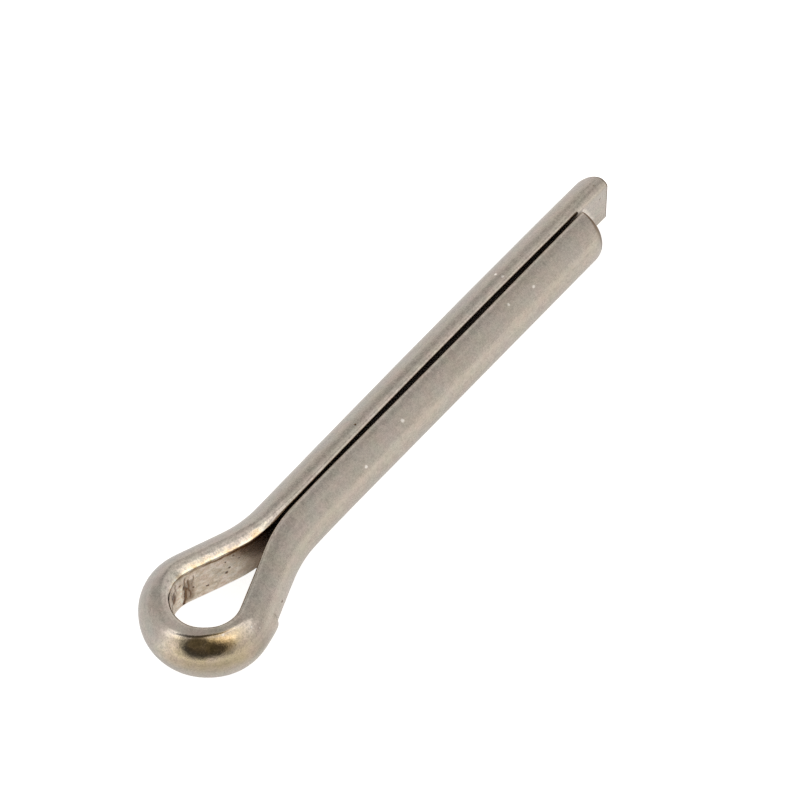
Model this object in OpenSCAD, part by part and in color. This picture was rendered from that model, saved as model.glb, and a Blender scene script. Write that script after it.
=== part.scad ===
// Split cotter pin: one length of half-round wire, folded back on itself round an eye.
// The eye lies at -X and the two legs run to +X with their flats facing each other.
// The pin lies on its side, so the loop of the eye is level and the wire rests on Z = 0.
// Lengths are in millimetres and angles in degrees.

/* [Wire] */
// Width of the half-round wire
wire_w = 4.42; // [3.6:0.02:5.4]
// Height of the wire from its flat to its crest
wire_h = 2.12; // [1.7:0.01:2.6]
// Height of the straight sides between the flat and the round back
side_h = 0.25; // [0.25:0.01:0.5]
// Radius of the two long edges beside the flat
edge_r = 0.2; // [0.1:0.01:0.22]

/* [Shank] */
// Overall length, from the end of the eye to the tip of the long leg
pin_len = 44.6; // [34:0.1:53]
// How far the long leg reaches past the short one
leg_step = 3; // [0.5:0.1:6]
// Gap between the two flats at the middle of the pin
leg_gap = 0.14; // [0.1:0.01:0.5]
// Angle that each leg stands off the centre line
leg_splay = 0.2; // [0:0.01:0.3]

/* [Eye] */
// Radius of the flat round the far end of the eye
eye_end_r = 2.25; // [1.8:0.05:3.2]
// Radius of the flat round each side of the eye
eye_side_r = 2; // [1.6:0.05:2.6]
// Angle that the end radius covers on each side of its middle
eye_end_sweep = 42; // [25:1:60]
// Length of each cheek, the straight between the end radius and a side radius
eye_cheek = 0.2; // [0.15:0.05:1]
// How far the eye sits off the centre line, towards the short leg
eye_shift = 0.29; // [0:0.01:0.5]

/* [Throat] */
// Angle of the straight flank from the eye to the long leg
long_flank_angle = 21; // [17:0.1:26]
// Angle of the straight flank from the eye to the short leg
short_flank_angle = 22.5; // [18:0.1:28]
// Radius of the flat where the flank bends into the long leg
long_throat_r = 9.8; // [7:0.1:12]
// Radius of the flat where the flank bends into the short leg
short_throat_r = 9.1; // [7:0.1:12]

/* [Sheared tips] */
// Angle by which both cuts lean away from square, the same way
shear_angle = 7; // [0:0.5:15]
// Radius of the edge that is rolled over round the back of each tip
roll_r = 0.55; // [0.3:0.05:1.2]

/* [Hidden] */
$fn = 96;

STEEL = [0.66, 0.63, 0.58];
// The side of the centre line that each leg lies on
LONG = 1;
SHORT = -1;
// A bend is this much slimmer all round than the straight wire that it joins, and runs on
// inside it by this lap, so that no two faces lie on each other
SLIM = 0.004;
LAP = 0.05;
// Depth of the rolled edge's centre below the wire's back and its cut, as a share of its radius
ROLL_DEPTH = 0.92;
// How far the wire runs on past its tip before it is sheared
OVERRUN = 1;

// The round back runs through the crest and the tops of both sides.
back_rise = wire_h - side_h;
back_r = (pow(wire_w / 2, 2) + pow(back_rise, 2)) / (2 * back_rise);
// Its centre lies this far behind the flat
back_set = back_r - wire_h;

eye_x = -pin_len / 2 + wire_h - SLIM + eye_end_r;
long_tip_x = pin_len / 2;
short_tip_x = long_tip_x - leg_step;

function heading(angle) = [cos(angle), sin(angle)];
// Where the line through p at angle a meets the line through q at angle b
function crossing(p, a, q, b) =
    p + heading(a) * cross(q - p, heading(b)) / cross(heading(a), heading(b));

// Each side is worked out at +Y, and the short one is mirrored.
function flank_angle(side) = side == LONG ? long_flank_angle : short_flank_angle;
function throat_r(side) = side == LONG ? long_throat_r : short_throat_r;
function tip_x(side) = side == LONG ? long_tip_x : short_tip_x;

// Where the end radius, the cheek, the side radius and the flank follow each other
function end_centre(side) = [eye_x, -side * eye_shift];
function cheek_start(side) = end_centre(side) + eye_end_r * heading(180 - eye_end_sweep);
function side_centre(side) = cheek_start(side) + eye_cheek * heading(90 - eye_end_sweep)
    - eye_side_r * heading(180 - eye_end_sweep);
function flank_start(side) = side_centre(side) + eye_side_r * heading(90 - flank_angle(side));

// Without a throat radius the flats of flank and leg would meet in a corner.
function throat_corner(side) =
    crossing(flank_start(side), -flank_angle(side), [0, leg_gap / 2], leg_splay);
function throat_turn(side) = flank_angle(side) + leg_splay;
function throat_tangent(side) = throat_r(side) * tan(throat_turn(side) / 2);
function flank_len(side) = norm(throat_corner(side) - flank_start(side)) - throat_tangent(side);
function leg_start(side) = throat_corner(side) + throat_tangent(side) * heading(leg_splay);
function throat_centre(side) = leg_start(side) + throat_r(side) * heading(90 + leg_splay);

function leg_len(side) = (tip_x(side) - leg_start(side).x) / cos(leg_splay);
function leg_tip(side) = leg_start(side) + leg_len(side) * heading(leg_splay);

// Cross-section of the wire: flat on the Y axis, crest at +X, both edges rounded
module wire_section(slim = 0) {
    edge_centre = [slim + edge_r, wire_w / 2 - slim - edge_r];
    difference() {
        intersection() {
            translate([-back_set, 0]) circle(back_r - slim);
            translate([slim, slim - wire_w / 2]) square([2 * wire_h, wire_w - 2 * slim]);
        }
        for (end = [0, 1]) mirror([0, end]) difference() {
            translate(edge_centre) mirror([1, 0]) square(2 * edge_r);
            translate(edge_centre) circle(edge_r);
        }
    }
}

// Straight wire from p along an angle, with its crest to the left
module straight_wire(p, angle, length) {
    translate(p) rotate(angle) rotate([90, 0, 90]) linear_extrude(length) wire_section();
}

// Wire bent round a centre, from an angle on through a turn, with its flat inside
module bend_on_flat(centre, radius, start, turn) {
    lap = LAP / radius * 180 / PI;
    translate(centre) rotate_extrude(angle = turn + 2 * lap, start = start - lap)
        translate([radius, 0]) wire_section(SLIM);
}

// Wire bent round a centre, from an angle on through a turn, with its crest inside
module bend_on_back(centre, radius, start, turn) {
    lap = LAP / radius * 180 / PI;
    translate(centre) rotate_extrude(angle = turn + 2 * lap, start = start - lap)
        translate([radius, 0]) mirror([1, 0]) wire_section(SLIM);
}

// Half profile of what the shear takes off a tip, turned round the axis of the wire's back:
// all that lies past the cut at Y = 0, and the corner outside the rolled edge
module shear_waste() {
    roll_centre = [back_r, 0] - ROLL_DEPTH * [roll_r, roll_r];
    difference() {
        translate([0, roll_centre.y]) square(2 * wire_w);
        intersection() {
            union() {
                translate([-roll_r, -2 * roll_r]) square([roll_centre.x + roll_r, 3 * roll_r]);
                translate(roll_centre) circle(roll_r);
            }
            translate([-roll_r, -2 * roll_r]) square([wire_w, 2 * roll_r]);
        }
    }
}

module leg(side) {
    // The cut leans about the axis of the back at the depth of the rolled edge
    pivot = [-ROLL_DEPTH * roll_r, -back_set];
    cut_angle = side * shear_angle;
    translate(leg_tip(side)) rotate(leg_splay) difference() {
        straight_wire([-leg_len(side), 0], 0, leg_len(side) + OVERRUN);
        translate(pivot) rotate(cut_angle) translate([-pivot * heading(cut_angle), 0])
            rotate([0, 90, 0]) rotate_extrude() shear_waste();
    }
}

// One side of the pin, from the tip of its leg to where the eye's end radius begins
module half_pin(side) {
    leg(side);
    bend_on_back(throat_centre(side), throat_r(side), -90 - flank_angle(side),
        throat_turn(side));
    straight_wire(flank_start(side), -flank_angle(side), flank_len(side));
    bend_on_flat(side_centre(side), eye_side_r, 90 - flank_angle(side),
        90 + flank_angle(side) - eye_end_sweep);
    straight_wire(cheek_start(side), 90 - eye_end_sweep, eye_cheek);
}

module cotter_pin() {
    color(STEEL) translate([0, 0, wire_w / 2]) {
        half_pin(LONG);
        bend_on_flat(end_centre(LONG), eye_end_r, 180 - eye_end_sweep, 2 * eye_end_sweep);
        mirror([0, 1, 0]) half_pin(SHORT);
    }
}

cotter_pin();
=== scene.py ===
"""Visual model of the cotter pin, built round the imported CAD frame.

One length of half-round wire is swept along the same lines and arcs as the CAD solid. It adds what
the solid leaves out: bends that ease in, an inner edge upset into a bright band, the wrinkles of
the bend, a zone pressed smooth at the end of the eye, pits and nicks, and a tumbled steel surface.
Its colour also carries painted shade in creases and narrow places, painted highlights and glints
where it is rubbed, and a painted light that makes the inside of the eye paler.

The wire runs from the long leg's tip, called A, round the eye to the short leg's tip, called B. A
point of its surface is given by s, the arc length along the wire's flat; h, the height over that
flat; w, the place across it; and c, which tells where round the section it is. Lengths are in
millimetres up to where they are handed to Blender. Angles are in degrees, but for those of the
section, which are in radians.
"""
import math
from types import SimpleNamespace

import bpy
import numpy as np
from mathutils import Matrix, Vector


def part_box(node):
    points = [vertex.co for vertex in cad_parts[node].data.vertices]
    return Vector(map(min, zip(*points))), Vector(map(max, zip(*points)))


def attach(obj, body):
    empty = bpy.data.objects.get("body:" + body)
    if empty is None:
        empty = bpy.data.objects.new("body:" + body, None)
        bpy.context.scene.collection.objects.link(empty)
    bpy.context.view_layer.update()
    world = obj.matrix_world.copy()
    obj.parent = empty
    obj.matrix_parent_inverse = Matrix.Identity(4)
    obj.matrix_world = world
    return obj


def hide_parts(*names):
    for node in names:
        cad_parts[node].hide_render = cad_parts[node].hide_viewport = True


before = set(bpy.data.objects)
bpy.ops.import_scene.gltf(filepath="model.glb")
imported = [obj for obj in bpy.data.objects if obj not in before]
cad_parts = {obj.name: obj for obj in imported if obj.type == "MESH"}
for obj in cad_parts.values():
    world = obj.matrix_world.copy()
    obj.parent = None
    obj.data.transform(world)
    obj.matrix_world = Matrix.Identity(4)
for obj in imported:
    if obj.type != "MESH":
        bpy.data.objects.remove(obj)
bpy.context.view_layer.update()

MM = 0.001
lowest, highest = (np.array(corner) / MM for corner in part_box("cotter_pin"))

# ---- Sizes of the wire: the CAD source's own values, but for the last two ----
WIRE_W = highest[2] - lowest[2]
WIRE_H = 2.12
SIDE_H = 0.25
EDGE_R = 0.2
LEG_STEP = 3.0
LEG_GAP = 0.14
LEG_SPLAY = 0.2
END_R = 2.25
SIDE_R = 2.0
END_SWEEP = 42.0
CHEEK = 0.2
EYE_SHIFT = 0.29
LONG, SHORT = 1, -1
FLANK_ANGLE = {LONG: 21.0, SHORT: 22.5}
THROAT_R = {LONG: 9.8, SHORT: 9.1}
# Both cuts lean less than the CAD solid's, and the short tip reaches a little further.
SHEAR_ANGLE = {LONG: 2.0, SHORT: 4.0}
SHORT_TIP_PAST = 0.15

half_w = WIRE_W / 2
back_rise = WIRE_H - SIDE_H
back_r = (half_w**2 + back_rise**2) / (2 * back_rise)
back_set = back_r - WIRE_H
eye_x = lowest[0] + WIRE_H + END_R
tip_x = {LONG: highest[0], SHORT: highest[0] - LEG_STEP + SHORT_TIP_PAST}


# ---- Shares between 0 and 1 ----
def bell(x, centre, width):
    """1 at the centre, falling to nearly 0 two widths away."""
    return np.exp(-((x - centre) / width) ** 2)


def ramp(x, start, end):
    """Smooth rise from 0 at start to 1 at end."""
    t = np.clip((x - start) / (end - start), 0, 1)
    return t * t * (3 - 2 * t)


def plateau(x, start, end, soft):
    """1 between start and end, easing to 0 over soft on each side."""
    return ramp(x, start - soft, start) * (1 - ramp(x, end, end + soft))


# ---- The path of the wire's flat, from the long tip round the eye to the short tip ----
def heading(angle):
    """Unit vector in plan at an angle, or one for each of several angles."""
    a = np.radians(angle)
    return np.stack([np.cos(a), np.sin(a)], -1)


def cross(a, b):
    return a[0] * b[1] - a[1] * b[0]


def crossing(p, a, q, b):
    """Where the line through p at angle a meets the line through q at angle b."""
    return p + heading(a) * cross(q - p, heading(b)) / cross(heading(a), heading(b))


def half_path(side):
    """Worked out at +Y: the leg's tip, then (length, turn) of each stretch from it to the eye."""
    flank = FLANK_ANGLE[side]
    end_centre = np.array([eye_x, -side * EYE_SHIFT])
    cheek_start = end_centre + END_R * heading(180 - END_SWEEP)
    side_centre = (cheek_start + CHEEK * heading(90 - END_SWEEP)
                   - SIDE_R * heading(180 - END_SWEEP))
    flank_start = side_centre + SIDE_R * heading(90 - flank)
    corner = crossing(flank_start, -flank, np.array([0, LEG_GAP / 2]), LEG_SPLAY)
    turn = flank + LEG_SPLAY
    tangent = THROAT_R[side] * math.tan(math.radians(turn / 2))
    leg_start = corner + tangent * heading(LEG_SPLAY)
    leg_len = (tip_x[side] - leg_start[0]) / math.cos(math.radians(LEG_SPLAY))
    side_turn = 90 + flank - END_SWEEP
    return leg_start + leg_len * heading(LEG_SPLAY), [
        (leg_len, 0),
        (THROAT_R[side] * math.radians(turn), -turn),
        (np.linalg.norm(corner - flank_start) - tangent, 0),
        (SIDE_R * math.radians(side_turn), side_turn),
        (CHEEK, 0),
    ]


long_tip, long_half = half_path(LONG)
_, short_half = half_path(SHORT)
stretches = (long_half + [(END_R * math.radians(2 * END_SWEEP), 2 * END_SWEEP)]
             + short_half[::-1])
# Arc length at both tips and wherever one stretch ends and the next one starts
knots = np.concatenate([[0], np.cumsum([length for length, _ in stretches])])
(S_TIP_A, S_THROAT_A, _, S_SIDE_A, _, S_END_A,
 S_END_B, _, S_FLANK_B, S_THROAT_B, S_LEG_B, S_TIP_B) = knots

PATH_STEP = 0.005
EASE = 0.22  # how gently a bend eases in: sigma of the smoothing along the path
RUN_ON = 2.0  # straight run past each tip, so that smoothing leaves the tips alone
# How far the real wire runs beside the straight lines and arcs: the long leg bows out a little
# at its middle and in at its tip, and the short leg's throat is wider. Arc length and offset.
BOW = ((0, 5, 12, 19, 27, 33, 50, 52.5, 54, 55.7, 57.4, 60),
       (-0.12, -0.05, 0.02, 0.045, 0.03, 0, 0, -0.05, -0.10, -0.08, -0.03, 0))
BOW_EASE = 0.6


def smooth(values, sigma):
    """Values at every path step, smoothed along the path. Past its ends they run on straight."""
    reach = int(4 * sigma / PATH_STEP)
    kernel = np.exp(-0.5 * (np.arange(-reach, reach + 1) * PATH_STEP / sigma) ** 2)
    kernel /= kernel.sum()
    padded = np.concatenate([
        values[:1] + (values[1] - values[0]) * np.arange(-reach, 0)[:, None], values,
        values[-1:] + (values[-1] - values[-2]) * np.arange(1, reach + 1)[:, None]])
    return np.stack([np.convolve(column, kernel, "valid") for column in padded.T], 1)


def trace_path():
    """Close points along the flat: arc length, plan position and heading in degrees."""
    s = np.arange(-RUN_ON, S_TIP_B + RUN_ON, PATH_STEP)
    turned = np.concatenate([[0], np.cumsum([turn for _, turn in stretches])])
    angle = 180 + LEG_SPLAY + np.interp(s, knots, turned)
    steps = heading((angle[1:] + angle[:-1]) / 2) * PATH_STEP
    points = np.concatenate([[[0, 0]], np.cumsum(steps, 0)])
    tip = np.array([np.interp(S_TIP_A, s, points[:, i]) for i in (0, 1)])
    points = smooth(points - tip + long_tip, EASE)
    points[:, 1] += smooth(np.interp(s, *BOW)[:, None], BOW_EASE)[:, 0]
    ahead = np.gradient(points, axis=0)
    return s, points, np.degrees(np.unwrap(np.arctan2(ahead[:, 1], ahead[:, 0])))


path_s, path_points, path_angle = trace_path()


def place(s, h, w, ahead=0.0):
    """Points in the CAD frame. ahead runs on in the direction of growing s."""
    angle = np.interp(s, path_s, path_angle)
    x, y = (np.interp(s, path_s, path_points[:, i]) for i in (0, 1))
    a, b = np.radians(angle), np.radians(angle - 90)
    return np.stack([x + np.cos(b) * h + np.cos(a) * ahead,
                     y + np.sin(b) * h + np.sin(a) * ahead, half_w + w], -1)


# ---- Stations along the wire: close together round the eye, wider along the legs ----
LEG_STATION, EYE_STATION, TIP_STATION = 0.3, 0.056, 0.1
EYE_STATION_EASE = 3.0
TIP_STATION_EASE = (0.5, 4)  # distances from a tip between which its spacing gives way
# The rolled edge of each tip: along the wire and into it at the crest, and the same by the flat
ROLL_LEN = {LONG: 1.0, SHORT: 1.15}
ROLL_IN = {LONG: 0.78, SHORT: 0.64}
EDGE_ROLL_LEN = {LONG: 0.12, SHORT: 0.16}
EDGE_ROLL_IN = {LONG: 0.05, SHORT: 0.08}


def pick_stations():
    """Arc lengths from one rolled edge to the other."""
    near, far = TIP_STATION_EASE
    stations = [ROLL_LEN[LONG]]
    while stations[-1] < S_TIP_B:
        s = stations[-1]
        round_eye = plateau(s, S_THROAT_A + 1, S_LEG_B - 1, EYE_STATION_EASE)
        near_tip = max(1 - ramp(s, near, far), ramp(s, S_TIP_B - far, S_TIP_B - near))
        step = LEG_STATION + (EYE_STATION - LEG_STATION) * round_eye
        step += (TIP_STATION - step) * near_tip
        stations.append(s + step)
    return np.interp(stations, (stations[0], stations[-1]),
                     (stations[0], S_TIP_B - ROLL_LEN[SHORT]))


# ---- Sizes that change along the wire, eased from value to value ----
def along(points, ease=0.3):
    """Values at path_s that run through (arc lengths, values), rounded off at each."""
    return smooth(np.interp(path_s, *points)[:, None], ease)[:, 0]


def at(s, values):
    """What along() gave, at each s."""
    return np.interp(s, path_s, values)


# How far the flat stands back from the CAD solid's flat. Bending has left the wire thinner in
# one place round the eye and thicker in another, and the legs stand slightly apart.
FLAT_SET_BACK = along((
    (0, 4, 10, 22, 33, 38, 42, 43.2, 44.4, 45.6, 47.2, 48.4, 51, 54, 58, 64, 74, 83, 85.4),
    (0.0, 0.01, 0.03, 0.04, 0.02, 0.0, 0.04, 0.09, 0.02,
     -0.11, -0.13, -0.03, 0.02, 0.0, 0.0, 0.03, 0.04, 0.0, -0.02)))
TOP_EDGE_R = along((
    (0, 2, 4.5, 31, 33.2, 35, 40.5, 41.8, 43, 46, 50, 54, 60, 83, 85.4),
    (0.6, 0.5, 0.26, 0.26, 0.5, 0.85, 0.85, 0.5, 0.34, 0.32, 0.34, 0.26, 0.24, 0.24, 0.25)))
# Along the inside of the long flank the upper edge is not round but pressed to a facet, from 0
# to 1. It meets the flat in a corner. The facet's section: share of its length, and its tilt.
FACET = along(((32, 34.5, 41, 42.8), (0, 1, 1, 0)))
FACET_TILT = ((0, 0.05, 0.42, 0.6, 0.78), (40, 28, 23, 10, -13))
# The end of the eye is pressed smooth on its upper side. A crease bounds that zone, at this
# height over the flat. The section's points follow it, so that it is crisp.
CREASE = along(((42.4, 43.2, 43.8, 44.7, 45.9, 47.1, 47.8, 48.4, 49.5),
                (1.6, 1.42, 1.13, 0.82, 0.54, 0.51, 0.72, 1.1, 1.5)), 0.2)
CREASE_WIDTH = 0.14
# How much the upper edge is rubbed smooth and given a painted highlight
EDGE_RUB_AND_HIGHLIGHT = along(((0, 2, 5, 31, 34.5, 41, 43, 52, 58, 83, 85.4),
                  (0.0, 0.05, 0.42, 0.46, 0.82, 0.8, 0.15, 0.1, 0.3, 0.3, 0.2)))


# ---- Section of the wire: flat, two rounded edges and a round back ----
# Steps round each stretch. The band lies between the upper edge and the crease.
FLAT_STEPS, EDGE_STEPS, BAND_STEPS, CREASE_STEPS, BACK_STEPS = 34, 15, 12, 4, 50
EDGE_SUBSTEPS = 8
FLAT_CROWDING, BACK_CROWDING = 1.35, 1.2  # how points draw together towards the upper side
# The lower edge is rounder from the end of the eye to the short flank, sharper along the long
# leg's throat and flank, and nearly square at the long tip.
EYE_EDGE_MORE, FLANK_EDGE_LESS, TIP_EDGE_LESS = 0.08, 0.08, 0.12
LOW_EDGE_EASE = 1.5


def low_edge_r(s):
    return (EDGE_R + EYE_EDGE_MORE * plateau(s, S_END_A, S_FLANK_B + 2, LOW_EDGE_EASE)
            - FLANK_EDGE_LESS * plateau(s, S_THROAT_A, S_SIDE_A, LOW_EDGE_EASE)
            - TIP_EDGE_LESS * (1 - ramp(s, 1, 3)))


def edge_arc(flat_h, radius, corner=0.0):
    """The arc that joins flat and back: its centre, and the angle at which it meets the back.
    It leaves the flat at the angle of the corner, in radians."""
    h = flat_h + radius * np.cos(corner)
    w = np.sqrt((back_r - radius) ** 2 - (h + back_set) ** 2)
    return h, w, np.arctan2(w, h + back_set)


def upper_edge(flat_h, facet, top_a):
    """Summed up from small steps, from the flat to the back at angle top_a: the arrays that
    section() gives, and the place across where the flat ends."""
    count = EDGE_SUBSTEPS * EDGE_STEPS
    t = np.linspace(0, 1, count + 1)[None, :]
    shares, tilts = FACET_TILT
    tilted = np.pi / 2 + np.stack([
        np.interp(t[0], (*shares, 1), (*np.radians(tilts), end - np.pi / 2))
        for end in top_a[:, 0]])
    a = (1 - facet) * (np.pi + (top_a - np.pi) * t) + facet * tilted
    middle = (a[:, 1:] + a[:, :-1]) / 2
    length = (back_r * np.cos(top_a) - back_set - flat_h) / np.mean(np.sin(middle), 1)[:, None]
    start = np.zeros_like(flat_h)
    up = np.concatenate([start, np.cumsum(np.sin(middle), 1) * length / count], 1)
    out = np.concatenate([start, -np.cumsum(np.cos(middle), 1) * length / count], 1)
    flat_end = back_r * np.sin(top_a) - out[:, -1:]
    every = slice(0, count, EDGE_SUBSTEPS)
    a = a[:, every]
    return (flat_h + up[:, every], flat_end + out[:, every], np.cos(a), np.sin(a),
            t[:, every] + start), flat_end


def section(s):
    """The section at each station s, as arrays (stations, points): height over the flat's line h,
    place across w, the normal (nh, nw), and c, which tells where round the section a point is.
    c is below 0 on the flat, in millimetres from the upper edge; from 0 to 1 round that edge; and
    1 and more on the back, growing by millimetres."""
    s = s[:, None]
    flat_h, facet = at(s, FLAT_SET_BACK), at(s, FACET)
    low_r = low_edge_r(s)
    _, _, top_a = edge_arc(flat_h, at(s, TOP_EDGE_R), facet * math.pi / 4)
    low_h, low_w, low_a = edge_arc(flat_h, low_r)
    crease_a = np.arccos((at(s, CREASE) + back_set) / back_r)
    half_crease = CREASE_WIDTH / back_r / 2

    def steps(count):
        return np.linspace(0, 1, count + 1)[None, :-1] + np.zeros_like(flat_h)

    top, flat_end = upper_edge(flat_h, facet, top_a)
    w = -low_w + (flat_end + low_w) * (1 - (1 - steps(FLAT_STEPS)) ** FLAT_CROWDING)
    flat = (flat_h + 0 * w, w, 0 * w - 1, 0 * w, w - flat_end)
    a = np.concatenate([
        top_a + (crease_a + half_crease - top_a) * steps(BAND_STEPS),
        crease_a + half_crease * (1 - 2 * steps(CREASE_STEPS)),
        crease_a - half_crease
        + (-low_a - crease_a + half_crease) * steps(BACK_STEPS) ** BACK_CROWDING], 1)
    back = (back_r * np.cos(a) - back_set, back_r * np.sin(a), np.cos(a), np.sin(a),
            1 + back_r * (top_a - a))
    a = -low_a + (low_a - np.pi) * steps(EDGE_STEPS)
    low = (low_h + low_r * np.cos(a), -low_w + low_r * np.sin(a), np.cos(a), np.sin(a),
           1 + back_r * (top_a + low_a) - low_r * (a + low_a))
    h, w, nh, nw, c = (np.concatenate(parts, 1) for parts in zip(flat, top, back, low))
    return h, np.clip(w, -half_w, half_w), nh, nw, c


# ---- What bending and wear did to the surface ----
PRESSED_S = (44.2, 47.6)
PRESSED_DEPTH = 0.03
PRESSED_RUN = 1.05  # from the crease to the far side of the pressed zone
HOLLOW_S, HOLLOW_DEPTH = (45.3, 45.42), 0.045  # the zone is hollow at its middle
GROOVE_DEPTH = 0.005  # along the crease itself
# Ridges and creases across the flat inside the bend: arc length, width, height, w from and to
WRINKLES = (
    (40.12, 0.095, -0.085, -1.95, -0.1), (40.12, 0.05, -0.045, -0.1, 1.0),
    (40.42, 0.09, 0.06, -1.5, 0.3), (40.72, 0.12, 0.035, -1.5, 0.5),
    (41.15, 0.19, -0.08, -0.5, 0.5), (41.45, 0.06, -0.045, -1.7, -0.3),
    (41.72, 0.06, -0.04, -1.6, -0.6), (42.0, 0.08, -0.05, -1.9, 1.4),
    (39.8, 0.08, -0.045, -1.4, 0.6), (39.55, 0.06, -0.03, -0.6, 0.8),
    (40.92, 0.06, -0.03, 0.3, 1.3), (39.3, 0.07, 0.012, -1.0, 1.0))
WRINKLE_EASE = 0.35
# The fold where the rolled upper edge meets the flat, along the inside of the long flank
FOLD_S = (33.8, 43.2)
FOLD_AT, FOLD_WIDTH, FOLD_DEPTH = -0.12, 0.11, 0.04
# A small lip on the outside of the eye
BURR_S, BURR_H = 49.25, 0.15
EDGE_UNEVEN = 0.006  # how uneven the rolled upper edge is
# A painted reflection on the long leg's flat, a bright crescent beside the short leg's tip: arc
# length, how far the mark lags behind for each millimetre across, and its width
CRESCENT_S, CRESCENT_LAG, CRESCENT_WIDTH = 2.7, 0.4, 0.16
# Painted glints, painted highlights at both ends of the crease: arc length and width, then heights
# from and to beside the crease, and how softly they end
PAINTED_GLINTS = ((47.75, 0.42, -0.05, 0.3, 0.15), (44.12, 0.3, -0.1, 0.2, 0.12))


def on_flat(h, c, start=0.0, end=0.3):
    """1 on the flat, easing to 0 round the upper edge as c goes from start to end."""
    return (1 - ramp(c, start, end)) * (h < 0.3)


def on_edge(s, c):
    """From 0 to 1: on the rolled upper edge, which is narrower where it is a facet."""
    facet = at(s, FACET)
    return (plateau(c, 0.3 - 0.25 * facet, 0.9 - 0.40 * facet, 0.25 + 0.07 * facet)
            * at(s, EDGE_RUB_AND_HIGHLIGHT))


def pressed(s, h, w):
    """From 0 to 1: inside the pressed zone at the end of the eye."""
    crease = at(s, CREASE)
    outer = crease + PRESSED_RUN + 0.25 * bell(s, 45.9, 1.5)
    half = CREASE_WIDTH / 2
    return (ramp(h, crease - half, crease + half) * (1 - ramp(h, outer - 0.5, outer + 0.25))
            * plateau(s, *PRESSED_S, 0.7) * (w > 0))


def hollow(s, h, w):
    """From 0 to 1: how hollow the pressed zone is."""
    over = h - at(s, CREASE)
    return ramp(over, 0, 0.5) * (1 - ramp(over, 0.5, 1.5)) * plateau(s, *HOLLOW_S, 0.45) * (w > 0)


def groove(s, h, w):
    """From 0 to 1: on the crease's own line."""
    return bell(h, at(s, CREASE), 0.05) * plateau(s, *PRESSED_S, 0.5) * (w > 0)


def wrinkles(s, w):
    """Height of the wrinkles, each of which wanders a little from its arc length."""
    total = 0 * s
    for i, (middle, width, height, low, high) in enumerate(WRINKLES):
        wander = middle + 0.07 * np.sin(2.1 * w + 1.7 * i) + 0.035 * np.sin(5.3 * w + 2.9 * i)
        total += height * bell(s, wander, width) * plateau(w, low, high, WRINKLE_EASE)
    return total


def fold(s, c):
    """From 0 to 1: on the fold line, which wavers a little."""
    line = FOLD_AT + 0.03 * np.sin(2.3 * s) + 0.025 * np.sin(6.1 * s + 1)
    strength = 0.8 + 0.2 * np.sin(1.9 * s + 0.5) * np.sin(4.7 * s)
    return (bell(c, line, FOLD_WIDTH) * (1 - ramp(c, -0.03, 0.06)) * plateau(s, *FOLD_S, 1.0)
            * strength)


def burr(s, h, w):
    """From 0 to 1: on the small lip, which is sharp on the flank's side."""
    return (ramp(s, BURR_S - 1.35, BURR_S - 0.05) * (1 - ramp(s, BURR_S, BURR_S + 0.1))
            * ramp(h, 1.5, 1.9) * plateau(w, -0.9, 0.5, 0.5))


def relief(s, h, w, c):
    """How far each point of the surface is moved out along its normal."""
    uneven = np.sin(3.1 * s) * np.sin(5.3 * s + 2 + 2 * np.sin(1.7 * s))
    return (wrinkles(s, w) * on_flat(h, c, -0.1, 0.15)
            + BURR_H * burr(s, h, w)
            + EDGE_UNEVEN * on_edge(s, c) * uneven
            - FOLD_DEPTH * fold(s, c)
            - PRESSED_DEPTH * pressed(s, h, w)
            - HOLLOW_DEPTH * hollow(s, h, w)
            - GROOVE_DEPTH * groove(s, h, w))


# ---- Masks for the material, each from 0 to 1. All take s, h, w and c. ----
def rub_and_highlight(s, h, w, c):
    """Where the surface has been pressed or rubbed smooth, which also gets a painted highlight,
    and the painted glints at the crease's ends, on the wrinkles' ridges and in a crescent.
    """
    over = h - at(s, CREASE)
    painted_glints = sum(bell(s, middle, width) * plateau(over, low, high, soft)
                 for middle, width, low, high, soft in PAINTED_GLINTS) * (w > 0)
    # The wrinkles' ridges get a painted highlight
    ridge_highlights = np.clip(wrinkles(s, w) / 0.06, 0, 1) * (c < 0)
    painted_crescent = (bell(s, CRESCENT_S - CRESCENT_LAG * (half_w - w), CRESCENT_WIDTH)
             * plateau(w, -0.5, half_w, 0.6) * (c < 0))
    return np.clip(on_edge(s, c) + 0.6 * pressed(s, h, w) + 0.9 * painted_glints + 0.45 * ridge_highlights + painted_crescent,
                   0, 1)


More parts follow.
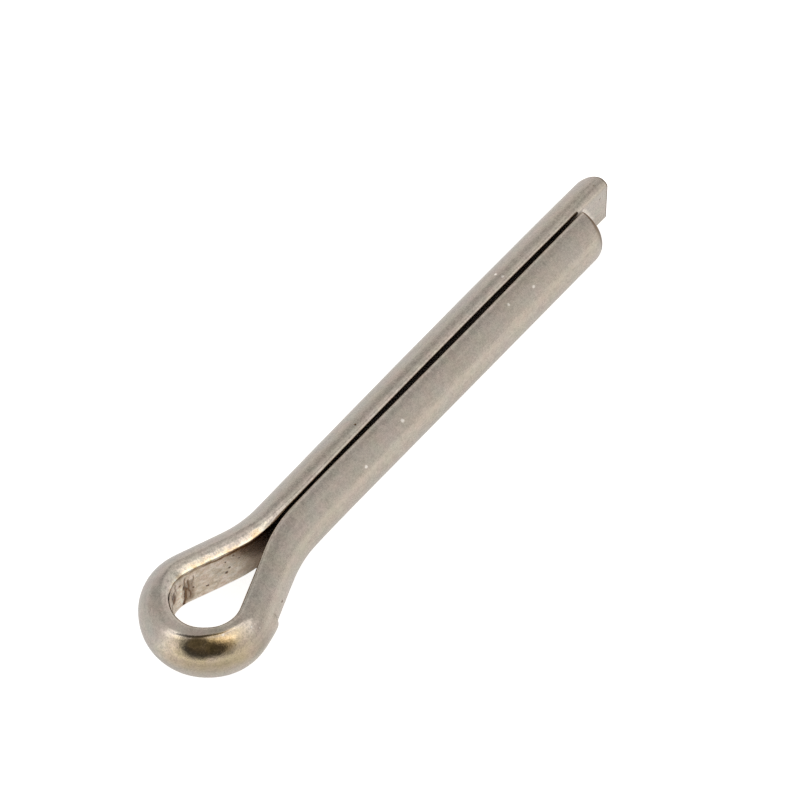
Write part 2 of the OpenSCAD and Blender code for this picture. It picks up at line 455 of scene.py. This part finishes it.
def painted_shade(s, h, w, c):
    """Painted shade in the fold, the wrinkles' creases, the crease line, the notch and every
    narrow place, and painted darker reflections in patches on the end of the eye.
    """
    creases = np.maximum(np.clip(-wrinkles(s, w) / 0.035, 0, 1),
                         0.6 * plateau(s, 39.6, 40.1, 0.25) * plateau(w, -1.7, 0.4, 0.4))
    creases *= on_flat(h, c, -0.1, 0.1)
    line = bell(h, at(s, CREASE), 0.06) * plateau(s, 44.8, 46.6, 0.5) * (w > 0)
    notch = bell(s, BURR_S + 0.12, 0.1) * ramp(h, 1.5, 1.8) * plateau(w, -0.2, 0.7, 0.3)
    # Painted shade between the legs, reaching further round the short leg's edge, and on the short
    # flank's flat
    slit_end = S_THROAT_A + 1.8 + 0.8 * ramp(w, -0.2, 1.4)
    slit = (ramp(s, LEG_STEP - 0.5, LEG_STEP - 0.2) * (1 - ramp(s, slit_end, slit_end + 2.3))
            + ramp(s, S_LEG_B - 1, S_LEG_B))
    slit *= on_flat(h, c, -0.1, np.where(s > S_END_B, 0.85, 0.15))
    flank = plateau(s, 44.5, S_LEG_B, 1.0) * on_flat(h, c, 0.05, 0.3)
    narrow = 0.9 * np.maximum(slit, 0.55 * flank)
    # Painted darker reflections on the end of the eye: round its upper edge, and in a patch lower
    # down
    rim = plateau(s, 44.9, 46.2, 0.6) * plateau(c, 0.1, 1.2, 0.3)
    painted_dark_patch = bell(s, 47.85, 0.5) * plateau(h, 1.55, 2.3, 0.3) * ramp(w, -0.5, 0.3)
    return np.clip(fold(s, c) + creases + narrow + 0.2 * line + 0.6 * notch + 0.25 * rim
                   + 0.3 * painted_dark_patch, 0, 1)


def stain(s, h, w, c):
    """The inside of the eye, browner than the rest by staining, and paler by a painted light."""
    return on_flat(h, c) * plateau(s, S_THROAT_A + 1.5, S_THROAT_B - 1.5, 2.0)


def film(s, h, w, c):
    """A thin golden-brown film of oil on the pressed zone and below it."""
    return (plateau(s, 44.7, 47.0, 1.0) * ramp(h - at(s, CREASE), -0.05, 0.2)
            * ramp(w, -0.2, 0.8))


# ---- Tips ----
TIP_RINGS = 12
LEAN_RUN = 1.5  # the stations lean over to the angle of the cut along this length
# Past the rolled edge, rings shrink towards a point in the middle of the cut
CAP_SCALES = (0.985, 0.9, 0.7, 0.45, 0.2)
CAP_MIDDLE_H = 0.9
# How far along its roll each ring lies, and 1 on the cut
RING = np.append(np.arange(1, TIP_RINGS + 1) / TIP_RINGS, np.full(len(CAP_SCALES), 1.0))
BY_FLAT = 0
# The least that a mask is on the rings: at the crest of the long tip and of the short one, and
# by the flat
TIP_MARKS = {
    # Painted shade round the rolled edge of each cut
    "painted_shade": {
        LONG: 0.6 * ramp(RING, 0.45, 0.62),
        SHORT: 0.7 * plateau(RING, 0.4, 0.56, 0.1),
        BY_FLAT: 0.9 * plateau(RING, 0.3, 0.6, 0.2),
    },
    # A painted highlight on the short tip's rim, which is also smoother there
    "rub_and_highlight": {
        LONG: 0 * RING,
        SHORT: 0.7 * ramp(RING, 0.6, 0.7),
        BY_FLAT: 0 * RING,
    },
}


def crestness(h, w):
    """1 at the crest and 0 by the flat."""
    return np.clip(h, 0, None) ** 2 / (h**2 + w**2)


def cut_lean(side):
    """How much further the wire reaches for each millimetre from its flat."""
    return -side * math.tan(math.radians(SHEAR_ANGLE[side]))


def tip_rings(side, s, h, w):
    """Rings from where the rolled edge starts to near the middle of the cut, and that middle."""
    crest = crestness(h, w)
    length = EDGE_ROLL_LEN[side] + (ROLL_LEN[side] - EDGE_ROLL_LEN[side]) * crest
    inset = EDGE_ROLL_IN[side] + (ROLL_IN[side] - EDGE_ROLL_IN[side]) * crest
    to_tip = abs((S_TIP_A if side == LONG else S_TIP_B) - s)

    def ring(ring_h, ring_w, back_off=0.0):
        return place(s, ring_h, ring_w, -side * (to_tip + cut_lean(side) * ring_h - back_off))

    rings = []
    for beta in np.linspace(0, 0.5 * math.pi, TIP_RINGS + 1)[1:]:
        scale = 1 - (1 - math.cos(beta)) * inset / half_w
        rings.append(ring(h * scale, w * scale, (1 - math.sin(beta)) * length))
    end_h, end_w = h * (1 - inset / half_w), w * (1 - inset / half_w)
    for scale in CAP_SCALES:
        rings.append(ring(end_h * scale + CAP_MIDDLE_H * (1 - scale), end_w * scale))
    return np.stack(rings), ring(CAP_MIDDLE_H, 0)


def tip_mask(name, side, end, crest):
    """A mask on the rings of a tip, from its values at the end of the swept wire."""
    rings = np.repeat(end[None], len(RING), 0)
    if name in TIP_MARKS:
        marks = TIP_MARKS[name]
        by_flat = marks[BY_FLAT][:, None]
        rings = np.maximum(rings, by_flat + (marks[side][:, None] - by_flat) * crest)
    return rings


# ---- The whole pin ----
def make_pin():
    stations = pick_stations()
    h, w, nh, nw, c = section(stations)
    s = np.repeat(stations[:, None], h.shape[1], 1)
    masks = {mask.__name__: mask(s, h, w, c) for mask in (rub_and_highlight, painted_shade, stain, film)}
    masks |= {"around": c, "along": s}
    out = relief(s, h, w, c)
    widest = half_w - 1e-4  # just inside the CAD box
    h, w = h + out * nh, np.clip(w + out * nw, -widest, widest)
    lean = (cut_lean(SHORT) * ramp(s, stations[-1] - LEAN_RUN, stations[-1])
            - cut_lean(LONG) * (1 - ramp(s, stations[0], stations[0] + LEAN_RUN)))
    tip_a, middle_a = tip_rings(LONG, stations[0], h[0], w[0])
    tip_b, middle_b = tip_rings(SHORT, stations[-1], h[-1], w[-1])
    grid = np.concatenate([tip_a[::-1], place(s, h, w, lean * h), tip_b])

    rows, cols = grid.shape[:2]
    index = np.arange(rows * cols).reshape(rows, cols)
    beside = np.roll(index, -1, 1)
    quads = np.stack([index[:-1], beside[:-1], beside[1:], index[1:]], -1).reshape(-1, 4)
    fan_a = [(rows * cols, j, i) for i, j in zip(index[0].tolist(), beside[0].tolist())]
    fan_b = [(rows * cols + 1, i, j) for i, j in zip(index[-1].tolist(), beside[-1].tolist())]
    points = np.concatenate([grid.reshape(-1, 3), [middle_a, middle_b]]) * MM
    mesh = bpy.data.meshes.new("pin")
    mesh.from_pydata(points.tolist(), [], quads.tolist() + fan_a + fan_b)
    mesh.polygons.foreach_set("use_smooth", np.ones(len(mesh.polygons), bool))
    for name, mask in masks.items():
        first = tip_mask(name, LONG, mask[0], crestness(h[0], w[0]))
        last = tip_mask(name, SHORT, mask[-1], crestness(h[-1], w[-1]))
        values = np.append(np.concatenate([first[::-1], mask, last]), [0, 0])
        mesh.attributes.new(name, "FLOAT", "POINT").data.foreach_set(
            "value", values.astype(np.float32))
    mesh.update()
    made = bpy.data.objects.new("pin", mesh)
    bpy.context.collection.objects.link(made)
    return made


# ---- Nodes ----
def connect(tree, value, socket):
    """Links an output to the socket, or sets the socket to a plain value."""
    if isinstance(value, bpy.types.NodeSocket):
        tree.links.new(value, socket)
    else:
        socket.default_value = value


def node(tree, kind, **settings):
    """A node of that kind. p_name sets its property, i0, i1 and so on are its inputs by number,
    and any other name is an input's own name, with _ for a space."""
    made = tree.nodes.new("ShaderNode" + kind)
    inputs = {}
    for name, value in settings.items():
        if name.startswith("p_"):
            setattr(made, name[2:], value)
        elif name[0] == "i" and name[1:].isdigit():
            inputs[int(name[1:])] = value
        else:
            inputs[name.replace("_", " ")] = value
    for key, value in inputs.items():
        connect(tree, value, made.inputs[key])
    return made


def math_node(tree, operation, a, b=0.0, c=0.0):
    return node(tree, "Math", p_operation=operation, i0=a, i1=b, i2=c).outputs[0]


def map_range(tree, value, from_min, from_max, to_min, to_max, kind="LINEAR"):
    return node(tree, "MapRange", p_interpolation_type=kind, i0=value, i1=from_min, i2=from_max,
                i3=to_min, i4=to_max).outputs[0]


def mix_colour(tree, factor, a, b, blend="MIX"):
    return node(tree, "Mix", p_data_type="RGBA", p_blend_type=blend,
                i0=factor, i6=a, i7=b).outputs[2]


def times_colour(tree, a, b):
    return mix_colour(tree, 1.0, a, b, "MULTIPLY")


def noise(tree, vector, per_mm, detail):
    return node(tree, "TexNoise", Vector=vector, Scale=per_mm / MM, Detail=detail).outputs["Fac"]


def distance(tree, place_of, point):
    """How many metres the surface is from a point, which is given in millimetres."""
    return node(tree, "VectorMath", p_operation="DISTANCE", i0=place_of,
                i1=Vector(point) * MM).outputs["Value"]


def empty_tree(owner):
    owner.use_nodes = True
    owner.node_tree.nodes.clear()
    return owner.node_tree


# ---- Steel ----
STEEL, COOL = (0.52, 0.468, 0.402, 1), (0.510, 0.468, 0.420, 1)
PINK, GREEN = (1.035, 0.985, 0.99, 1), (0.975, 1.012, 0.985, 1)  # its passive layer's faint tints
# Inside the eye, against the steel's own colour: mottled from pale to tan, browner by staining
# and brighter than the steel by a painted light
PALE, TAN = (1.68, 1.63, 1.55, 1), (1.40, 1.28, 1.10, 1)
OIL = (1.0, 0.91, 0.72, 1)
# The colour of residue and of the painted shade that darkens creases and narrow places
RESIDUE_AND_SHADE = (0.24, 0.152, 0.08, 1)
# The colour of fresh metal in a nick, and of painted glints
BRIGHT = (0.95, 0.92, 0.86, 1)  # fresh metal in a nick
# Noises over the surface: waves for each millimetre, and levels of detail
FINE, GRAIN, MOTTLE, BLOTCH = (8.0, 3), (2.6, 3), (1.1, 2), (0.5, 2)
STREAKS_ACROSS, STREAKS_ALONG = 3.2, 0.12  # the same, round the drawn wire and along it
LOW, HIGH = 0.3, 0.7  # the values that a noise mostly keeps between
# How much lighter or darker each noise makes the steel, and the share of that where stained
FINE_SHADE, GRAIN_SHADE, STREAK_SHADE = (-0.13, 0.13), (-0.08, 0.08), (-0.045, 0.04)
STAINED_SHARE = 0.9
# A painted highlight: how many times as bright the colour is where rubbed and at glints
PAINTED_HIGHLIGHT = 1.75  # how many times as bright it is where rubbed
# Ranges of a noise, and of what it makes: the speckle of what is rubbed, the dark grime inside
# the eye, the patches of oil, and where the inside of the eye turns from tan to pale
SPECKLE, GRIME, OILED = (0.8, 1.2, 0.65, 1.35), (0.54, 0.74, 0, 0.45), (0.35, 0.6, 0.6, 1.0)
TO_PALE = (0.42, 0.62, 0, 1)
# Roughness by the grain, what the fine noise adds, and its share where rubbed
GRAIN_ROUGH, FINE_ROUGH, RUBBED_ROUGH = (0.23, 0.32), (-0.06, 0.06), 0.5
BUMP = 0.006  # height of the fine noise
PIT_DEPTH = 8.0  # against the height of the fine noise
# A spot is whole as far as the first share of its radius and gone at the second. Its outline is
# ragged, because a noise of so many waves for each millimetre shifts the surface by so much.
SPOT_FADE = (0.5, 1.3)
RAGGED_PER_MM, RAGGED_BY = 6, 0.12
# Small pits with dark residue: s, h, w and a radius
PITS = (
    (37.13, 0, -0.59, 0.13), (36.58, 0, 1.17, 0.10), (36.16, 0, 0.53, 0.08),
    (37.17, 0, 0.76, 0.07), (36.90, 0, -0.13, 0.09), (39.50, 0, -0.49, 0.10),
    (38.51, 0, -1.10, 0.12), (24.64, 0.60, 2.11, 0.11), (50.58, 2.05, 0.52, 0.10),
    (49.16, 2.05, 0.55, 0.10), (0.86, 0.50, 2.18, 0.10), (0.76, 0.11, 0.88, 0.13),
    (0.28, 0.12, -0.57, 0.10), (40.52, 0.09, 0.69, 0.10))
# Small bright nicks of fresh metal, some of them painted glints, in the same way
NICKS_AND_GLINTS = (
    (62.11, 1.56, 1.48, 0.11), (66.06, 1.22, 1.79, 0.12), (10.05, 0.51, 2.15, 0.10),
    (79.21, 1.17, 1.83, 0.10), (10.12, 1.04, 1.91, 0.09), (77.03, 0.88, 2.01, 0.09),
    (2.70, 0.08, 1.20, 0.13), (46.59, 0.62, 2.05, 0.09), (47.89, 1.18, 1.79, 0.07),
    (48.10, 1.59, 1.49, 0.06), (37.66, 0.27, 2.12, 0.10), (35.36, 0.53, 2.15, 0.10))


def spots(tree, place_of, points):
    """From 0 to 1: how near the surface is to the nearest of a few points."""
    whole, gone = SPOT_FADE
    total = 0.0
    for s, h, w, radius in points:
        gap = distance(tree, place_of, place(s, h, w))
        total = math_node(tree, "MAXIMUM", total, map_range(
            tree, gap, whole * radius * MM, gone * radius * MM, 1, 0))
    return total


def surface(tree):
    """What the steel's colour and roughness are made from: noises, and masks from 0 to 1."""
    place_of = node(tree, "TexCoord").outputs["Object"]
    on = SimpleNamespace(**{
        name: noise(tree, place_of, *kind) for name, kind in (
            ("fine", FINE), ("grain", GRAIN), ("mottle", MOTTLE), ("blotch", BLOTCH))})
    rubbed, dark, on.stain, oily, around, along_wire = (
        node(tree, "Attribute", p_attribute_name=name).outputs["Fac"]
        for name in ("rub_and_highlight", "painted_shade", "stain", "film", "around", "along"))
    drawn = node(tree, "CombineXYZ", X=math_node(tree, "MULTIPLY", around, STREAKS_ACROSS),
                 Y=math_node(tree, "MULTIPLY", along_wire, STREAKS_ALONG)).outputs[0]
    on.streak = node(tree, "TexNoise", Vector=drawn, Scale=1.0, Detail=3.0,
                     Roughness=0.6).outputs["Fac"]

    shift = node(tree, "TexNoise", Vector=place_of, Scale=RAGGED_PER_MM / MM).outputs["Color"]
    ragged = node(tree, "VectorMath", p_operation="MULTIPLY_ADD", i0=shift,
                  i1=(RAGGED_BY * MM,) * 3, i2=place_of).outputs[0]
    ragged = node(tree, "VectorMath", p_operation="SUBTRACT", i0=ragged,
                  i1=(RAGGED_BY / 2 * MM,) * 3).outputs[0]
    on.pit, on.nick = spots(tree, ragged, PITS), spots(tree, ragged, NICKS_AND_GLINTS)

    speckled = map_range(tree, math_node(tree, "ADD", on.fine, on.grain), *SPECKLE)
    rubbed = math_node(tree, "MULTIPLY", rubbed, speckled)
    on.rubbed = math_node(tree, "MAXIMUM", rubbed, on.nick)
    grime = math_node(tree, "MULTIPLY", on.stain, map_range(tree, on.mottle, *GRIME))
    on.dark = math_node(tree, "MAXIMUM", math_node(tree, "MAXIMUM", dark, grime), on.pit)
    on.oily = math_node(tree, "MULTIPLY", oily, map_range(tree, on.mottle, *OILED))
    return on


def steel_colour(tree, on):
    """Mottled grey with a painted highlight where rubbed and at glints, tinted by oil and
    staining, paler inside the eye by a painted light, with painted shade and residue on top.
    """
    shade = math_node(tree, "ADD", map_range(tree, on.fine, LOW, HIGH, *FINE_SHADE),
                      map_range(tree, on.grain, LOW, HIGH, *GRAIN_SHADE))
    shade = math_node(tree, "ADD", shade, map_range(tree, on.streak, 0.35, 0.65, *STREAK_SHADE))
    shade = math_node(tree, "MULTIPLY_ADD", shade,
                      map_range(tree, on.stain, 0, 1, 1, STAINED_SHARE),
                      map_range(tree, on.rubbed, 0, 1, 1, PAINTED_HIGHLIGHT))
    tone = mix_colour(tree, map_range(tree, on.blotch, 0.35, 0.65, 0, 1), STEEL, COOL)
    tone = times_colour(tree, tone, mix_colour(
        tree, map_range(tree, on.mottle, LOW, HIGH, 0, 1), PINK, GREEN))
    tone = mix_colour(tree, on.oily, tone, times_colour(tree, tone, OIL))
    inside = mix_colour(tree, map_range(tree, on.grain, *TO_PALE), TAN, PALE)
    tone = mix_colour(tree, on.stain, tone, times_colour(tree, tone, inside))
    tone = node(tree, "VectorMath", p_operation="SCALE", i0=tone, Scale=shade).outputs[0]
    tone = mix_colour(tree, math_node(tree, "MULTIPLY", on.nick, 0.8), tone, BRIGHT)
    return mix_colour(tree, on.dark, tone, times_colour(tree, tone, RESIDUE_AND_SHADE))


def steel_roughness(tree, on):
    """Satin and a little uneven, and smoother where rubbed."""
    rough = math_node(tree, "ADD", map_range(tree, on.grain, LOW, HIGH, *GRAIN_ROUGH),
                      map_range(tree, on.fine, LOW, HIGH, *FINE_ROUGH))
    share = map_range(tree, on.rubbed, 0, 0.6, 1, RUBBED_ROUGH)
    return math_node(tree, "MULTIPLY", rough, share)


def steel_material():
    """Tumbled stainless steel: a satin grain, smoother where rubbed, with painted highlights where
    rubbed and at glints, and painted shade in its creases and narrow places.
    """
    mat = bpy.data.materials.new("steel")
    tree = empty_tree(mat)
    on = surface(tree)
    height = math_node(tree, "MULTIPLY_ADD", on.pit, -PIT_DEPTH, on.fine)
    bump = node(tree, "Bump", Strength=1.0, Distance=BUMP * MM, Height=height)
    shader = node(tree, "BsdfPrincipled", Base_Color=steel_colour(tree, on), Metallic=1.0,
                  Roughness=steel_roughness(tree, on), Normal=bump.outputs[0])
    node(tree, "OutputMaterial", Surface=shader.outputs[0])
    return mat


# ---- Floor ----
FLOOR_HALF = 1500  # half of its side
FLOOR_DROP = 0.01  # so that the wire's lowest points don't lie in it
PAPER = (0.85, 0.84, 0.82, 1)
WHITE = (1, 1, 1, 1)
CAMERA_GLOW = 0.85
# In reflections, the paper on the far side of the pin is darker and cooler than on the near side
NEAR_GLOW, FAR_GLOW, GLOW_REACH = 0.56, 0.36, 12.0
NEAR_TINT, FAR_TINT = (1.0, 0.985, 0.96, 1), (0.90, 0.97, 1.10, 1)
# A painted shadow of the camera in the paper's glow: a dimmer patch past the end of the eye, its
# middle, the radii between which it gives way, and its share of the glow
PATCH_AT, PATCH_RADII, PATCH_GLOW = (-35, -14, 0), (7, 22), 0.35


def floor_material():
    """Paper that keeps a faint shadow. The camera sees it as white, and reflections as pale."""
    mat = bpy.data.materials.new("floor")
    tree = empty_tree(mat)
    rays = node(tree, "LightPath").outputs
    mirrored = math_node(tree, "MAXIMUM", rays["Is Glossy Ray"], rays["Is Transmission Ray"])
    place_of = node(tree, "TexCoord").outputs["Object"]
    across = node(tree, "SeparateXYZ", Vector=place_of).outputs["Y"]
    reach = GLOW_REACH * MM
    uneven = map_range(tree, across, -reach, reach, NEAR_GLOW, FAR_GLOW)
    uneven = math_node(tree, "MULTIPLY", uneven, map_range(
        tree, distance(tree, place_of, PATCH_AT), *(radius * MM for radius in PATCH_RADII),
        PATCH_GLOW, 1, "SMOOTHSTEP"))
    glow = math_node(tree, "MULTIPLY_ADD", rays["Is Camera Ray"], CAMERA_GLOW,
                     math_node(tree, "MULTIPLY", mirrored, uneven))
    tint = mix_colour(tree, map_range(tree, across, -reach, reach, 0, 1), NEAR_TINT, FAR_TINT)
    tint = mix_colour(tree, rays["Is Camera Ray"], tint, WHITE)
    paper = node(tree, "BsdfDiffuse", Color=PAPER)
    light = node(tree, "Emission", Color=tint, Strength=glow)
    both = node(tree, "AddShader", i0=paper.outputs[0], i1=light.outputs[0])
    node(tree, "OutputMaterial", Surface=both.outputs[0])
    return mat


def make_floor():
    mesh = bpy.data.meshes.new("floor")
    corners = ((-1, -1), (1, -1), (1, 1), (-1, 1))
    mesh.from_pydata([(x * FLOOR_HALF * MM, y * FLOOR_HALF * MM, 0) for x, y in corners],
                     [], [(0, 1, 2, 3)])
    mesh.materials.append(floor_material())
    made = bpy.data.objects.new("floor", mesh)
    made.location.z = -FLOOR_DROP * MM
    bpy.context.collection.objects.link(made)
    return made


# ---- Light ----
# Strength of the light at the horizon and overhead, how high overhead starts, and the least
# strength anywhere
HORIZON, ZENITH, ZENITH_HEIGHT, DARKEST = 0.86, 0.74, 0.85, 0.05
# Broad areas of the studio: azimuth, elevation, the radii between which it fades, added light
AREAS = (
    (-62, 40, 16, 40, -0.66),  # the dark side of the room, behind the camera
    (-24, 28, 10, 26, -0.40),
    (-70, 10, 8, 30, -0.20),
    (-3, 66, 3, 15, 0.50),  # soft light above
    (8, 52, 3, 10, 0.60),  # three small lamps
    (35, 45, 2, 9, 0.25),
    (36, 60, 2, 8, 0.42),
    (-114, 37, 6, 22, 0.12),  # soft light on the left
    (-109, 48, 3, 9, 0.50),
    (146, 50, 3, 14, -0.12),  # the far wall
    (160, 24, 3, 18, -0.32),
    (-170, 30, 5, 30, -0.20),
    (-166, 6, 5, 24, -0.14),
    (155, 0, 6, 20, 0.08),
    (62, 60, 10, 38, -0.20),  # the right
    (60, 5, 8, 30, -0.12),
)
LAMPLIGHT = (-42, 47, 16, 36)  # where the room's light is golden: azimuth, elevation, radii
DAY_TINT, GOLDEN_TINT = (1.0, 0.97, 0.95, 1), (1.0, 0.82, 0.52, 1)


def direction(azimuth, elevation):
    a, e = math.radians(azimuth), math.radians(elevation)
    return Vector((math.sin(a) * math.cos(e), -math.cos(a) * math.cos(e), math.sin(e)))


def studio_world():
    """A pale studio with soft light, a few small lamps and the dark of the room behind."""
    world = bpy.data.worlds.new("studio")
    tree = empty_tree(world)
    towards = node(tree, "TexCoord").outputs["Generated"]

    def area(azimuth, elevation, inner, outer, value):
        """The value within the inner radius, easing to 0 at the outer one."""
        near = node(tree, "VectorMath", p_operation="DOT_PRODUCT", i0=towards,
                    i1=direction(azimuth, elevation)).outputs["Value"]
        return map_range(tree, near, math.cos(math.radians(outer)),
                         math.cos(math.radians(inner)), 0, value, "SMOOTHSTEP")

    height = node(tree, "SeparateXYZ", Vector=towards).outputs["Z"]
    strength = map_range(tree, height, 0, ZENITH_HEIGHT, HORIZON, ZENITH, "SMOOTHSTEP")
    for values in AREAS:
        strength = math_node(tree, "ADD", strength, area(*values))
    strength = math_node(tree, "MAXIMUM", strength, DARKEST)
    tint = mix_colour(tree, area(*LAMPLIGHT, 1), DAY_TINT, GOLDEN_TINT)
    light = node(tree, "Background", Color=tint, Strength=strength)
    node(tree, "OutputWorld", Surface=light.outputs[0])
    return world


# ---- Camera ----
VIEW_AZIMUTH, VIEW_ELEVATION, VIEW_ROLL = -49.934, 59.479, 0.198
VIEW_DISTANCE = 418.11
PIXELS_PER_MM = 15.53  # at the aim
IMAGE_SIDE = 800
SENSOR_WIDTH = 36
AIM = (1.837, 0.450, 2.21)  # seen half a pixel to the right of the image's middle and below it
HALF_PIXEL = 0.5 / PIXELS_PER_MM


def make_camera():
    roll = math.radians(VIEW_ROLL)
    back = direction(VIEW_AZIMUTH, VIEW_ELEVATION)
    right = Vector((0, 0, 1)).cross(back).normalized()
    up = back.cross(right)
    right, up = (right * math.cos(roll) + up * math.sin(roll),
                 up * math.cos(roll) - right * math.sin(roll))
    stand = (Vector(AIM) + (up - right) * HALF_PIXEL + back * VIEW_DISTANCE) * MM
    data = bpy.data.cameras.new("camera")
    data.sensor_width = SENSOR_WIDTH
    data.lens = PIXELS_PER_MM * VIEW_DISTANCE / IMAGE_SIDE * SENSOR_WIDTH
    camera = bpy.data.objects.new("camera", data)
    camera.matrix_world = Matrix((
        (right.x, up.x, back.x, stand.x),
        (right.y, up.y, back.y, stand.y),
        (right.z, up.z, back.z, stand.z),
        (0, 0, 0, 1)))
    bpy.context.collection.objects.link(camera)
    return camera


# ---- The pin, and the studio round it ----
pin = make_pin()
pin.data.materials.append(steel_material())
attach(pin, "root")
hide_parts("cotter_pin")

floor = make_floor()
bpy.context.scene.world = studio_world()
bpy.context.scene.camera = make_camera()
bpy.context.scene.view_settings.view_transform = "Standard"
